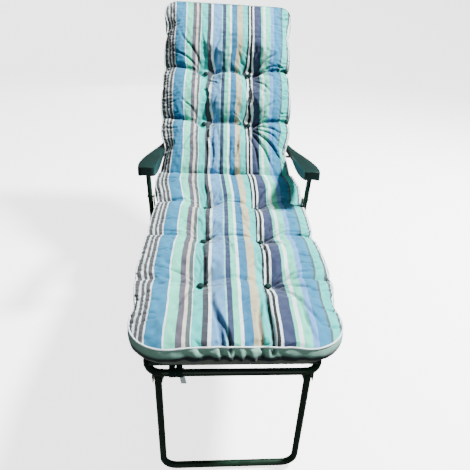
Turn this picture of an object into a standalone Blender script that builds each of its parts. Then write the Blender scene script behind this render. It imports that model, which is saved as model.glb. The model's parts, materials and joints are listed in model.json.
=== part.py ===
"""A reclining sun lounger: folding steel tube frame, moulded armrests and a tufted cushion.

Metres. +X is across the lounger, +Y runs from the foot end to the head, +Z is up.
The origin is on the floor, below the middle of the object.
Run it with: blender --background --python part.py
"""

import math

import bmesh
import bpy
from mathutils import Matrix, Vector

# ---- Driving dimensions -------------------------------------------------------------

# Steel tube and fasteners
TUBE_R = 0.009
TUBE_RINGS = 5              # bevel resolution of a tube: 14 sides
BEND_STEPS = 5              # straight pieces in one tube bend
GAP = 0.0003                # between pieces that touch
PIN_R = 0.003
HOLE_R = 0.0035
SHOULDER_R = 0.006
HEAD_R = 0.0056             # domed rivet head: foot radius, crown radius and height
HEAD_CROWN_R = 0.0034
HEAD_HEIGHT = 0.0026
PLATE = 0.003               # thickness of a steel plate
PLATE_MARGIN = 0.010        # hinge plate beyond the middle of its holes

# Side view
FRAME_Z = 0.384             # tube axis of the seat and the legrest
HINGE_Y = 0.201             # back hinge
RECLINE = math.radians(49.4)
SEAT_LENGTH = 0.490         # back hinge to legrest hinge
LEGREST_LENGTH = 0.468      # legrest hinge to its end bar
BACK_LENGTH = 0.862         # back hinge to its top bar
LEG_PIVOT_Z = 0.362
FRONT_LEG_BACK = 0.230      # back hinge to the front leg's pivot, along the seat
REAR_LEG_BACK = 0.030
FRONT_LEG_REACH = 0.090     # how far the foot stands out from its pivot
REAR_LEG_REACH = 0.340
FOOT_LEG_Z = 0.357          # pivot of the foot leg
FOOT_LEG_BACK = 0.011       # how far that pivot lies behind the end bar
RAIL_END = 0.012            # tube beyond its hinge hole: rails, back and legrest, legs
TUBE_END = 0.010
LEG_END = 0.008
SEAT_BAR_FRONT = 0.060      # crossbars: from the legrest hinge, and from the back hinge
SEAT_BAR_REAR = 0.072
BACK_BAR_UP = 0.110
BACK_BEND = 0.060           # bend radii
LEGREST_BEND = 0.042
FOOT_LEG_BEND = 0.036
LEG_BEND = 0.040

# Half widths, to the tube axes
RAIL_X = 0.268
BACK_X = 0.244
REAR_LEG_X = 0.244
FRONT_LEG_X = 0.220
LEGREST_HINGE_X = 0.244
LEGREST_END_X = 0.209
FOOT_LEG_X = 0.1835
POST_X = 0.2935
PLATE_X = 0.2570
STRAP_OUT = 0.0035          # middle of the arm post's strap, out from the rail

# Arm posts
POST_LEAN = 0.035           # foot of the post behind its top
POST_DROP = 0.012           # post below the rail's axis
POST_END = 0.009            # post above the armrest pivot
RIVET_UP = 0.110
RIVET_MARGIN = 0.009        # strap beyond the middle of its holes

# Armrests
ARM_PIVOT_Y = HINGE_Y - 0.245
ARM_PIVOT_Z = 0.603
ARM_SLOPE = math.radians(-8.0)
ARM_NOSE = 0.036            # nose ahead of the pivot
ARM_LENGTH = 0.536
ARM_TOP = 0.0195            # top surface above the pivot
ARM_WALL = 0.003
ARM_CROWN = 0.0020
ARM_EDGE = 0.0035
ARM_CORNER = 0.010
ARM_INNER_X = 0.266         # half width to the inner wall at the nose
ARM_SPLAY = 0.006           # how much further out that wall is at the rear
ARM_NOSE_X = 0.322          # half widths to the outer wall: nose, widest place, rear
ARM_WIDE_X = 0.332
ARM_REAR_X = 0.294
ARM_WIDE_RUN = 0.090        # widest place behind the nose
ARM_FRONT_SKIRT = 0.029
ARM_REAR_SKIRT = 0.022
ARM_SKIRT_BELLY = 0.014
ARM_SKIRT_RUN = 0.300       # where the skirt reaches its rear depth
ARM_PIN_X = 0.2965
ARM_PIN_HALF = 0.0245
ARM_PIN_END_R = 0.0026      # end face inside the chamfer
NOTCH_X = 0.285             # middle of the notch cutter
STUD_UP_BACK = 0.200        # recline stud, from the back hinge along the back
NOTCHES = [0.300 + 0.034 * k for k in range(6)]
NOTCH_R = 0.006
STUD_END_X = 0.3000
STUD_SHOULDER_X = 0.2985

# Cushion
SLING = 0.002
SLING_UNDER = 0.0105        # underside of a sling above the tube axis
CUSHION_UNDER = 0.0135
CUSHION_TOP = 0.084
CUSHION_EDGE = 0.012
CUSHION_PAST_HEAD = 0.022   # cushion beyond the back's top bar
CUSHION_PAST_FOOT = 0.014   # cushion beyond the legrest's end bar
CUSHION_HEAD_CORNER = 0.055
CUSHION_FOOT_CORNER = 0.085
WELL_MARGIN = 0.003         # well round a button
SLING_INSET = 0.002         # sling's edge inside the tube axis
SLING_HEM = 0.030           # sling's end from a hinge
CUSHION_X = 0.274
CUSHION_FOOT_X = 0.262
CUSHION_BACK_X = 0.262
BUTTON_X = 0.0975
BUTTON_R = 0.0105
BUTTON_UP = 0.047           # buttons above the tube axis
BUTTON_PITCH = 0.242
SEAT_BUTTON_ROWS = [-0.206, -0.206 - BUTTON_PITCH]
LEGREST_BUTTON_ROW = -0.200
BACK_BUTTON_ROWS = [0.319, 0.319 + BUTTON_PITCH]

# Foot leg bracket
BRACKET_LONG = 0.020
BRACKET_WALL = 0.0024
BRACKET_SLOT = 0.0005       # play beside the foot leg
BRACKET_WEB = 0.0128        # underside of the web above the pivot
BRACKET_BELOW = 0.0080      # walls below the pivot

# Floor glides
GLIDE_SIZE = (0.034, 0.026, 0.016)
GLIDE_LIFT = 0.004          # glide under the tube
GLIDE_X = 0.150


# ---- Scene set-up -------------------------------------------------------------------

def clear_scene():
    for obj in list(bpy.data.objects):
        bpy.data.objects.remove(obj)


def new_collection(name):
    collection = bpy.data.collections.new(name)
    bpy.context.scene.collection.children.link(collection)
    return collection


def new_material(name, colour, roughness, metallic=0.0):
    material = bpy.data.materials.new(name)
    material.use_nodes = True
    shader = material.node_tree.nodes["Principled BSDF"]
    shader.inputs["Base Color"].default_value = (*colour, 1.0)
    shader.inputs["Roughness"].default_value = roughness
    shader.inputs["Metallic"].default_value = metallic
    return material


clear_scene()
PARTS = new_collection("sun_lounger")
CUTTERS = new_collection("cutters")

STEEL = new_material("green_painted_steel", (0.012, 0.040, 0.026), 0.35)
ZINC = new_material("bright_zinc", (0.62, 0.63, 0.62), 0.32, 1.0)
PLASTIC = new_material("green_plastic", (0.022, 0.070, 0.060), 0.42)
GLIDE = new_material("black_plastic", (0.020, 0.022, 0.022), 0.5)
CLOTH = new_material("striped_cotton", (0.36, 0.56, 0.60), 0.9)
BUTTON = new_material("green_cloth_button", (0.010, 0.090, 0.080), 0.8)
WEBBING = new_material("green_sling", (0.020, 0.060, 0.045), 0.85)


def body_frame(name, y, z, tilt=0.0):
    """An empty on a joint axis; the pieces of that moving body are its children."""
    empty = bpy.data.objects.new(name, None)
    empty.location = (0.0, y, z)
    empty.rotation_euler = (tilt, 0.0, 0.0)
    PARTS.objects.link(empty)
    return empty


def place(name, mesh, frame, material, location=(0, 0, 0), rotation=(0, 0, 0)):
    obj = bpy.data.objects.new(name, mesh)
    obj.parent = frame
    obj.location = location
    obj.rotation_euler = rotation
    mesh.materials.append(material)
    PARTS.objects.link(obj)
    return obj


def smooth(mesh, angle=35.0):
    mesh.shade_smooth()
    mesh.set_sharp_from_angle(angle=math.radians(angle))


def mesh_of(bm, name):
    mesh = bpy.data.meshes.new(name)
    bm.to_mesh(mesh)
    bm.free()
    return mesh


# ---- Shapes -------------------------------------------------------------------------

def rounded(corners, radius):
    """An open polyline whose inner corners are turned into arcs."""
    corners = [Vector(corner) for corner in corners]
    points = [corners[0]]
    for before, corner, after in zip(corners, corners[1:], corners[2:]):
        back = (before - corner).normalized()
        ahead = (after - corner).normalized()
        half = back.angle(ahead) / 2
        centre = corner + (back + ahead).normalized() * radius / math.sin(half)
        first = corner + back * radius / math.tan(half) - centre
        last = corner + ahead * radius / math.tan(half) - centre
        axis = first.cross(last).normalized()
        step = first.angle(last) / BEND_STEPS
        for k in range(BEND_STEPS + 1):
            points.append(centre + Matrix.Rotation(step * k, 3, axis) @ first)
    points.append(corners[-1])
    return points


def tube_mesh(name, points, radius=TUBE_R, rings=TUBE_RINGS):
    """A capped tube along points, from a bevelled curve, as one welded mesh."""
    curve = bpy.data.curves.new(name, "CURVE")
    curve.dimensions = "3D"
    curve.bevel_depth = radius
    curve.bevel_resolution = rings
    curve.use_fill_caps = True
    spline = curve.splines.new("POLY")
    spline.points.add(len(points) - 1)
    for target, point in zip(spline.points, points):
        target.co = (*point, 1.0)
    source = bpy.data.objects.new(name + "_curve", curve)
    CUTTERS.objects.link(source)
    graph = bpy.context.evaluated_depsgraph_get()
    mesh = bpy.data.meshes.new_from_object(source.evaluated_get(graph))
    bpy.data.objects.remove(source)
    bm = bmesh.new()
    bm.from_mesh(mesh)
    bmesh.ops.remove_doubles(bm, verts=bm.verts, dist=0.00001)
    bm.to_mesh(mesh)
    bm.free()
    mesh.name = name
    smooth(mesh)
    return mesh


def box_mesh(name, size, edge=0.0, segments=2):
    bm = bmesh.new()
    bmesh.ops.create_cube(bm, size=1.0, matrix=Matrix.Diagonal((*size, 1.0)))
    if edge:
        bmesh.ops.bevel(bm, geom=bm.edges[:], offset=edge, segments=segments,
                        profile=0.5, affect="EDGES", clamp_overlap=True)
    return mesh_of(bm, name)


def cylinder_mesh(name, radius, length, sides=12):
    """A closed cylinder along X."""
    bm = bmesh.new()
    bmesh.ops.create_cone(bm, cap_ends=True, segments=sides, radius1=radius, radius2=radius,
                          depth=length, matrix=Matrix.Rotation(math.pi / 2, 4, "Y"))
    return mesh_of(bm, name)


def turned(name, profile, frame, material, location, rotation=(0, 0, 0), steps=10):
    """A turned piece: profile holds (radius, height) from its top to its bottom."""
    mesh = bpy.data.meshes.new(name)
    points = [(radius, 0.0, height) for radius, height in profile]
    edges = [(k, k + 1) for k in range(len(points) - 1)]
    mesh.from_pydata(points, edges, [])
    obj = place(name, mesh, frame, material, location, rotation)
    screw = obj.modifiers.new("turn", "SCREW")
    screw.steps = steps
    screw.render_steps = steps
    screw.use_merge_vertices = True
    screw.merge_threshold = 0.0001
    screw.use_smooth_shade = True
    return obj


def plate(name, outline, holes, frame, material, x):
    """A flat steel plate across X: outline and holes are in the side view (y, z)."""
    curve = bpy.data.curves.new(name, "CURVE")
    curve.dimensions = "2D"
    curve.fill_mode = "BOTH"
    curve.extrude = PLATE / 2
    loops = [outline] + [circle(y, z, HOLE_R) for y, z in holes]
    for loop in loops:
        spline = curve.splines.new("POLY")
        spline.use_cyclic_u = True
        spline.points.add(len(loop) - 1)
        for target, (y, z) in zip(spline.points, loop):
            target.co = (y, z, 0.0, 1.0)
    obj = place(name, curve, frame, material, (x, 0, 0))
    obj.matrix_local = Matrix(((0, 0, 1, x), (1, 0, 0, 0), (0, 1, 0, 0), (0, 0, 0, 1)))
    return obj


def circle(y, z, radius, sides=12):
    angles = [2 * math.pi * k / sides for k in range(sides)]
    return [(y + radius * math.cos(a), z + radius * math.sin(a)) for a in angles]


def capsule(first, last, radius, steps=6):
    """The outline of a strap with round ends, from first to last in the side view."""
    run = math.atan2(last[1] - first[1], last[0] - first[0])
    points = []
    for (y, z), start in ((first, run + math.pi / 2), (last, run - math.pi / 2)):
        for k in range(steps + 1):
            a = start + math.pi * k / steps
            points.append((y + radius * math.cos(a), z + radius * math.sin(a)))
    return points


def cut(obj, cutter_mesh, frame, location=(0, 0, 0), rotation=(0, 0, 0)):
    """Take the cutter's shape out of obj."""
    cutter = bpy.data.objects.new(obj.name + "_cutter", cutter_mesh)
    cutter.parent = frame
    cutter.location = location
    cutter.rotation_euler = rotation
    cutter.hide_render = True
    cutter.display_type = "WIRE"
    CUTTERS.objects.link(cutter)
    boolean = obj.modifiers.new("cut", "BOOLEAN")
    boolean.operation = "DIFFERENCE"
    boolean.solver = "EXACT"
    boolean.object = cutter


def drill(obj, frame, y, z, radius=HOLE_R, x=0.0, length=0.64):
    """A hole along X through every tube of obj that it meets."""
    cut(obj, cylinder_mesh("drill", radius, length), frame, (x, y, z))


def pin(name, frame, x_out, x_in, y, z, material=ZINC, shoulder=None):
    """A rivet along X between two domed heads, on the +X side if x_out is positive.

    shoulder gives the two x values between which the shank is thick.
    """
    side = math.copysign(1.0, x_out)
    length = abs(x_out - x_in)
    crown = 0.8 * HEAD_HEIGHT
    profile = [(0.0, HEAD_HEIGHT), (HEAD_CROWN_R, crown), (HEAD_R, 0.0), (PIN_R, 0.0)]
    if shoulder:
        top = abs(x_out) - shoulder[0]
        bottom = abs(x_out) - shoulder[1]
        profile += [(PIN_R, -top), (SHOULDER_R, -top), (SHOULDER_R, -bottom), (PIN_R, -bottom)]
    profile += [(PIN_R, -length), (HEAD_R, -length), (HEAD_CROWN_R, -length - crown)]
    profile += [(0.0, -length - HEAD_HEIGHT)]
    return turned(name, profile, frame, material, (x_out, y, z), (0, side * math.pi / 2, 0))


SIDES = (("left", -1.0), ("right", 1.0))


def cross_tube(name, frame, y, z, half_length):
    """A tube across the frame whose ends are saddles on the side tubes."""
    mesh = tube_mesh(name, [(-half_length, y, z), (half_length, y, z)])
    obj = place(name, mesh, frame, STEEL)
    for _, side in SIDES:
        saddle = tube_mesh("saddle", [(0, y - 0.05, z), (0, y + 0.05, z)], TUBE_R + GAP)
        cut(obj, saddle, frame, (side * half_length, 0, 0))
    return obj


def sling(name, frame, width, y_first, y_last):
    mesh = box_mesh(name, (width, y_last - y_first, SLING))
    middle = (y_first + y_last) / 2
    return place(name, mesh, frame, WEBBING, (0, middle, SLING_UNDER + SLING / 2))


def tuft_button(name, frame, x, y):
    r = BUTTON_R
    profile = [(0.0, 0.0062), (0.45 * r, 0.0056), (0.80 * r, 0.0038), (r, 0.0)]
    profile += [(0.90 * r, -0.0014), (0.0, -0.0020)]
    return turned(name, profile, frame, BUTTON, (x, y, BUTTON_UP), steps=14)


def cushion(name, frame, first, last, button_rows, corner=0.0):
    """A plain cushion section between two ends along the frame.

    Each end is (half width, y at the underside, y at the top). corner rounds the
    plan corners of the first end. Each button sits in a well.
    """
    bm = bmesh.new()
    bmesh.ops.create_cube(bm, size=2.0)
    outer = [e for e in bm.edges if max(v.co.y for v in e.verts) < 0
             and abs(e.verts[0].co.z - e.verts[1].co.z) > 1]
    for vert in bm.verts:
        end = first if vert.co.y < 0 else last
        top = vert.co.z > 0
        vert.co.x = math.copysign(end[0], vert.co.x)
        vert.co.y = end[2] if top else end[1]
        vert.co.z = CUSHION_TOP if top else CUSHION_UNDER
    if corner:
        bmesh.ops.bevel(bm, geom=outer, offset=corner, segments=5, profile=0.5, affect="EDGES")
    bmesh.ops.recalc_face_normals(bm, faces=bm.faces)
    obj = place(name, mesh_of(bm, name), frame, CLOTH)
    edge = obj.modifiers.new("round edges", "BEVEL")
    edge.width = CUSHION_EDGE
    edge.segments = 2
    edge.limit_method = "ANGLE"
    edge.angle_limit = math.radians(40)
    well = CUSHION_TOP - BUTTON_UP + 0.012
    bottom = BUTTON_UP - 0.0035
    for y in button_rows:
        for _, side in SIDES:
            mesh = cylinder_mesh("well", BUTTON_R + WELL_MARGIN, well)
            cut(obj, mesh, frame, (side * BUTTON_X, y, bottom + well / 2), (0, math.pi / 2, 0))
    return obj


def mitre(angle_from_frame, height):
    """How far a plane through the hinge leans back from the hinge at a height."""
    return height / math.tan(angle_from_frame)


# ---- Seat: rails, crossbars, sling, cushion and arm posts ----------------------------

# Half the angle between back and seat at the most upright position
BACK_FORWARD = math.radians(20.0)
BACK_MITRE = (math.pi - RECLINE - BACK_FORWARD) / 2
LEGREST_LIFT = math.radians(45.0)
LEGREST_MITRE = (math.pi - LEGREST_LIFT) / 2
MITRE_GAP = 0.002

FRONT_LEG_Y = -FRONT_LEG_BACK
REAR_LEG_Y = -REAR_LEG_BACK
LEG_DROP = FRAME_Z - LEG_PIVOT_Z
POST_TOP = (ARM_PIVOT_Y - HINGE_Y, ARM_PIVOT_Z - FRAME_Z)
POST_FOOT = (POST_TOP[0] + POST_LEAN, -POST_DROP)


def build_seat():
    frame = body_frame("seat_axis", HINGE_Y, FRAME_Z)
    front = -SEAT_LENGTH - RAIL_END
    for word, side in SIDES:
        x = side * RAIL_X
        mesh = tube_mesh("rail", [(x, front, 0), (x, RAIL_END, 0)])
        rail = place("seat_rail_" + word, mesh, frame, STEEL)
        for y in (-SEAT_LENGTH, 0.0, POST_FOOT[0]):
            drill(rail, frame, y, 0.0, x=x, length=0.04)
    cross_tube("seat_front_crossbar", frame, -SEAT_LENGTH + SEAT_BAR_FRONT, 0.0, RAIL_X)
    cross_tube("seat_rear_crossbar", frame, -SEAT_BAR_REAR, 0.0, RAIL_X)
    width = 2 * (RAIL_X - SLING_INSET)
    sling("seat_sling", frame, width, -SEAT_LENGTH + SLING_HEM - 0.010, -SLING_HEM)
    low = CUSHION_UNDER
    high = CUSHION_TOP
    front_end = (CUSHION_X,
                 -SEAT_LENGTH + mitre(LEGREST_MITRE, low) + MITRE_GAP,
                 -SEAT_LENGTH + mitre(LEGREST_MITRE, high) + MITRE_GAP)
    rear_end = (CUSHION_X,
                -mitre(BACK_MITRE, low) - MITRE_GAP,
                -mitre(BACK_MITRE, high) - MITRE_GAP)
    cushion("seat_cushion", frame, front_end, rear_end, SEAT_BUTTON_ROWS)
    for row, y in enumerate(SEAT_BUTTON_ROWS, 1):
        for word, side in SIDES:
            tuft_button(f"seat_button_{row}_{word}", frame, side * BUTTON_X, y)
    for word, side in SIDES:
        build_post(frame, word, side)
        build_hinge_plates(frame, word, side)


def build_post(frame, word, side):
    """The arm post stands outside the rail on a flat strap, held by a rivet and a bolt."""
    x = side * POST_X
    lean = (POST_TOP[0] - POST_FOOT[0]) / (POST_TOP[1] - POST_FOOT[1])
    end = (POST_TOP[0] + lean * POST_END, POST_TOP[1] + POST_END)
    post = place("arm_post_" + word, tube_mesh("post", [(x, *POST_FOOT), (x, *end)]), frame, STEEL)
    bolt = (POST_FOOT[0], 0.0)
    rivet = (POST_FOOT[0] + lean * (RIVET_UP - POST_FOOT[1]), RIVET_UP)
    for y, z in (bolt, rivet, POST_TOP):
        drill(post, frame, y, z, x=x, length=0.04)
    strap_x = RAIL_X + TUBE_R + STRAP_OUT
    plate("arm_post_strap_" + word, capsule(bolt, rivet, RIVET_MARGIN), [bolt, rivet], frame,
          STEEL, side * strap_x)
    rail_inner = side * (RAIL_X - TUBE_R - GAP)
    post_outer = side * (POST_X + TUBE_R + GAP)
    strap_inner = side * (strap_x - PLATE / 2 - GAP)
    pin("arm_post_bolt_" + word, frame, post_outer, rail_inner, *bolt)
    pin("arm_post_rivet_" + word, frame, post_outer, strap_inner, *rivet)


def build_hinge_plates(frame, word, side):
    """Plates inside the rail, and the rivets that the back, legrest and legs turn on."""
    hinge = (0.0, 0.0)
    rear = (REAR_LEG_Y, -LEG_DROP)
    leg = (FRONT_LEG_Y, -LEG_DROP)
    x = side * PLATE_X
    outline = capsule(rear, hinge, PLATE_MARGIN)
    plate("hinge_plate_" + word, outline, [rear, hinge], frame, STEEL, x)
    outline = capsule(leg, (FRONT_LEG_Y, 0.0), PLATE_MARGIN)
    plate("leg_plate_" + word, outline, [leg], frame, STEEL, x)
    rail_outer = side * (RAIL_X + TUBE_R + GAP)
    plate_outer = side * (PLATE_X + PLATE / 2 + GAP)
    plate_inner = PLATE_X - PLATE / 2 - GAP
    back_inner = side * (BACK_X - TUBE_R - GAP)
    back_outer = BACK_X + TUBE_R + GAP
    pin("back_hinge_pin_" + word, frame, rail_outer, back_inner, *hinge)
    pin("rear_leg_pin_" + word, frame, plate_outer, side * (REAR_LEG_X - TUBE_R - GAP), *rear)
    pin("front_leg_pin_" + word, frame, plate_outer, side * (FRONT_LEG_X - TUBE_R - GAP), *leg,
        shoulder=(plate_inner, FRONT_LEG_X + TUBE_R + GAP))
    pin("legrest_hinge_pin_" + word, frame, rail_outer, back_inner, -SEAT_LENGTH, 0.0,
        shoulder=(RAIL_X - TUBE_R - GAP, back_outer))


# ---- Back ---------------------------------------------------------------------------

def build_back():
    frame = body_frame("back_recline_axis", HINGE_Y, FRAME_Z, RECLINE)
    corners = [(-BACK_X, -TUBE_END, 0), (-BACK_X, BACK_LENGTH, 0), (BACK_X, BACK_LENGTH, 0),
               (BACK_X, -TUBE_END, 0)]
    mesh = tube_mesh("back_frame", rounded(corners, BACK_BEND))
    back = place("back_frame", mesh, frame, STEEL)
    drill(back, frame, 0.0, 0.0)
    drill(back, frame, STUD_UP_BACK, 0.0)
    cross_tube("back_crossbar", frame, BACK_BAR_UP, 0.0, BACK_X)
    sling("back_sling", frame, 2 * (BACK_X - SLING_INSET), SLING_HEM, BACK_LENGTH - 0.006)
    low = CUSHION_UNDER
    high = CUSHION_TOP
    foot = (CUSHION_BACK_X,
            mitre(BACK_MITRE, low) + MITRE_GAP,
            mitre(BACK_MITRE, high) + MITRE_GAP)
    end = BACK_LENGTH + CUSHION_PAST_HEAD
    head = (CUSHION_BACK_X, end, end)
    cushion("back_cushion", frame, head, foot, BACK_BUTTON_ROWS, CUSHION_HEAD_CORNER)
    for row, y in enumerate(BACK_BUTTON_ROWS, 1):
        for word, side in SIDES:
            tuft_button(f"back_button_{row}_{word}", frame, side * BUTTON_X, y)
    for word, side in SIDES:
        inner = side * (BACK_X - TUBE_R - GAP)
        pin("recline_stud_" + word, frame, side * STUD_END_X, inner, STUD_UP_BACK, 0.0,
            shoulder=(STUD_SHOULDER_X, BACK_X + TUBE_R + GAP))


# ---- Armrests -----------------------------------------------------------------------

def arm_edges(run):
    """Inner and outer half widths of the armrest at a distance from its nose."""
    inner = ARM_INNER_X + ARM_SPLAY * run / ARM_LENGTH
    if run < ARM_WIDE_RUN:
        swell = math.sin(math.pi / 2 * run / ARM_WIDE_RUN)
        outer = ARM_NOSE_X + (ARM_WIDE_X - ARM_NOSE_X) * swell
    else:
        taper = math.cos(math.pi * (run - ARM_WIDE_RUN) / (ARM_LENGTH - ARM_WIDE_RUN))
        outer = ARM_REAR_X + (ARM_WIDE_X - ARM_REAR_X) * (1 + taper) / 2
    short = max(0.0, ARM_CORNER - min(run, ARM_LENGTH - run))
    inset = ARM_CORNER - math.sqrt(ARM_CORNER ** 2 - short ** 2)
    return inner + inset, outer - inset


def arm_skirt(run):
    """Depth of the armrest's side walls at a distance from its nose."""
    deep = min(run / ARM_SKIRT_RUN, 1.0)
    ease = deep * deep * (3 - 2 * deep)
    depth = ARM_FRONT_SKIRT + (ARM_REAR_SKIRT - ARM_FRONT_SKIRT) * ease
    return depth + ARM_SKIRT_BELLY * math.sin(math.pi * deep)


def armrest_mesh(name, side):
    """The open shell of one armrest, before it gets its wall thickness."""
    across = 4
    ends = [ARM_CORNER * share for share in (0.0, 0.15, 0.5, 1.0)]
    middle = ARM_LENGTH - 2 * ARM_CORNER
    inner_rows = [ARM_CORNER + middle * k / 11 for k in range(1, 11)]
    rows = ends + inner_rows + [ARM_LENGTH - run for run in reversed(ends)]
    bm = bmesh.new()
    bmesh.ops.create_grid(bm, x_segments=across, y_segments=len(rows) - 1, size=1.0)
    for vert in bm.verts:
        run = rows[round((vert.co.y + 1) / 2 * (len(rows) - 1))]
        u = (vert.co.x + 1) / 2
        inner, outer = arm_edges(run)
        if side < 0:
            inner, outer = -outer, -inner
        dip = ARM_CROWN * (2 * u - 1) ** 2
        vert.co = (inner + (outer - inner) * u, run - ARM_NOSE, ARM_TOP - dip)
    rim = [edge for edge in bm.edges if edge.is_boundary]
    skirt = bmesh.ops.extrude_edge_only(bm, edges=rim)["geom"]
    for vert in skirt:
        if isinstance(vert, bmesh.types.BMVert):
            vert.co.z -= arm_skirt(vert.co.y + ARM_NOSE)
    bmesh.ops.recalc_face_normals(bm, faces=bm.faces)
    if sum(face.normal.z for face in bm.faces) < 0:
        bmesh.ops.reverse_faces(bm, faces=bm.faces)
    mesh = mesh_of(bm, name)
    smooth(mesh)
    return mesh


def notch_cutter():
    """A row of bars along X, one for each place of the recline stud."""
    bm = bmesh.new()
    for run in NOTCHES:
        spot = Matrix.Translation((0, run, ARM_TOP - ARM_REAR_SKIRT - 0.0015))
        bmesh.ops.create_cone(bm, cap_ends=True, segments=14, radius1=NOTCH_R, radius2=NOTCH_R,
                              depth=0.08, matrix=spot @ Matrix.Rotation(math.pi / 2, 4, "Y"))
    return mesh_of(bm, "notches")


def build_armrest(word, side):
    frame = body_frame("armrest_" + word + "_axis", ARM_PIVOT_Y, ARM_PIVOT_Z, ARM_SLOPE)
    arm = place("armrest_" + word, armrest_mesh("armrest", side), frame, PLASTIC)
    edge = arm.modifiers.new("round edges", "BEVEL")
    edge.width = ARM_EDGE
    edge.segments = 2
    edge.limit_method = "ANGLE"
    edge.angle_limit = math.radians(50)
    wall = arm.modifiers.new("wall", "SOLIDIFY")
    wall.thickness = ARM_WALL
    wall.offset = -1.0
    wall.use_even_offset = True
    cut(arm, notch_cutter(), frame, (side * NOTCH_X, 0, 0))
    end = ARM_PIN_HALF
    chamfer = 0.0005
    profile = [(0.0, end), (ARM_PIN_END_R, end), (PIN_R, end - chamfer)]
    profile += [(PIN_R, chamfer - end), (ARM_PIN_END_R, -end), (0.0, -end)]
    turned("armrest_pin_" + word, profile, frame, ZINC, (side * ARM_PIN_X, 0, 0),
           (0, math.pi / 2, 0))


# ---- Legrest and foot leg -----------------------------------------------------------

def build_legrest():
    frame = body_frame("legrest_lift_axis", HINGE_Y - SEAT_LENGTH, FRAME_Z)
    end = -LEGREST_LENGTH
    straight = -0.030
    half = [(LEGREST_HINGE_X, TUBE_END), (LEGREST_HINGE_X, straight), (LEGREST_END_X, end)]
    corners = [(-x, y, 0) for x, y in half] + [(x, y, 0) for x, y in reversed(half)]
    mesh = tube_mesh("legrest_frame", rounded(corners, LEGREST_BEND))
    legrest = place("legrest_frame", mesh, frame, STEEL)
    drill(legrest, frame, 0.0, 0.0)
    sling("legrest_sling", frame, 2 * (LEGREST_END_X - 0.005), end + 0.012, -SLING_HEM)
    low = CUSHION_UNDER
    high = CUSHION_TOP
    foot = (CUSHION_FOOT_X, end - CUSHION_PAST_FOOT, end - CUSHION_PAST_FOOT)
    knee = (CUSHION_X,
            -mitre(LEGREST_MITRE, low) - MITRE_GAP,
            -mitre(LEGREST_MITRE, high) - MITRE_GAP)
    cushion("legrest_cushion", frame, foot, knee, [LEGREST_BUTTON_ROW], CUSHION_FOOT_CORNER)
    for word, side in SIDES:
        tuft_button("legrest_button_" + word, frame, side * BUTTON_X, LEGREST_BUTTON_ROW)
        build_foot_leg_bracket(frame, word, side)


def build_foot_leg_bracket(frame, word, side):
    """A channel under the legrest tube that holds one end of the foot leg."""
    x = side * FOOT_LEG_X
    y = -LEGREST_LENGTH + FOOT_LEG_BACK
    z = FOOT_LEG_Z - FRAME_Z
    top = -TUBE_R - GAP
    bottom = z - BRACKET_BELOW
    slot = TUBE_R + BRACKET_SLOT
    size = (2 * (slot + BRACKET_WALL), BRACKET_LONG, top - bottom)
    bracket = place("foot_leg_bracket_" + word, box_mesh("bracket", size), frame, STEEL,
                    (x, y, (top + bottom) / 2))
    slot_size = (2 * slot, 0.05, 0.06)
    middle = z + BRACKET_WEB - slot_size[2] / 2
    cut(bracket, box_mesh("slot", slot_size), frame, (x, y, middle))
    drill(bracket, frame, y, z, x=x, length=0.05)
    outer = side * (FOOT_LEG_X + slot + BRACKET_WALL + GAP)
    inner = side * (FOOT_LEG_X - slot - BRACKET_WALL - GAP)
    pin("foot_leg_pin_" + word, frame, outer, inner, y, z)


def build_foot_leg():
    drop = FOOT_LEG_Z - TUBE_R
    lean = math.atan2(FOOT_LEG_BACK, drop)
    y = HINGE_Y - SEAT_LENGTH - LEGREST_LENGTH + FOOT_LEG_BACK
    frame = body_frame("foot_leg_fold_axis", y, FOOT_LEG_Z, -lean)
    low = -math.hypot(drop, FOOT_LEG_BACK)
    corners = [(-FOOT_LEG_X, 0, LEG_END), (-FOOT_LEG_X, 0, low), (FOOT_LEG_X, 0, low),
               (FOOT_LEG_X, 0, LEG_END)]
    mesh = tube_mesh("foot_leg", rounded(corners, FOOT_LEG_BEND))
    leg = place("foot_leg", mesh, frame, STEEL)
    drill(leg, frame, 0.0, 0.0)


# ---- Chair legs ---------------------------------------------------------------------

def build_leg(word, pivot_y, reach, half_width):
    """A U-shaped leg on two floor glides. reach is positive towards the head."""
    drop = LEG_PIVOT_Z - TUBE_R - GLIDE_LIFT
    lean = math.atan2(reach, drop)
    frame = body_frame(word + "_leg_fold_axis", HINGE_Y + pivot_y, LEG_PIVOT_Z, lean)
    low = -math.hypot(drop, reach)
    corners = [(-half_width, 0, LEG_END), (-half_width, 0, low), (half_width, 0, low),
               (half_width, 0, LEG_END)]
    mesh = tube_mesh(word + "_leg", rounded(corners, LEG_BEND))
    leg = place(word + "_leg", mesh, frame, STEEL)
    drill(leg, frame, 0.0, 0.0)
    drop_to_centre = TUBE_R + GLIDE_LIFT - GLIDE_SIZE[2] / 2
    level = Matrix.Rotation(-lean, 3, "X")
    offset = level @ Vector((0, 0, -drop_to_centre))
    for side_word, side in SIDES:
        glide = place(f"{word}_glide_{side_word}", box_mesh("glide", GLIDE_SIZE, 0.002, 1),
                      frame, GLIDE, (side * GLIDE_X, offset.y, low + offset.z), (-lean, 0, 0))
        groove = cylinder_mesh("groove", TUBE_R + 2 * GAP, 0.06, 24)
        cut(glide, groove, frame, (side * GLIDE_X, 0, low))


build_seat()
build_back()
for side_word, side_sign in SIDES:
    build_armrest(side_word, side_sign)
build_legrest()
build_foot_leg()
build_leg("front", FRONT_LEG_Y, -FRONT_LEG_REACH, FRONT_LEG_X)
build_leg("rear", REAR_LEG_Y, REAR_LEG_REACH, REAR_LEG_X)
bpy.context.view_layer.update()
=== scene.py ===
"""Looks of the reclining sun lounger: cushion, slings, tape tie and materials.

Metres, in the frame's own axes: +X across, +Y from the foot end to the head, +Z up.
"""

import json
import math

import bmesh
import bpy
import numpy as np
from mathutils import Matrix, Vector


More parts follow.
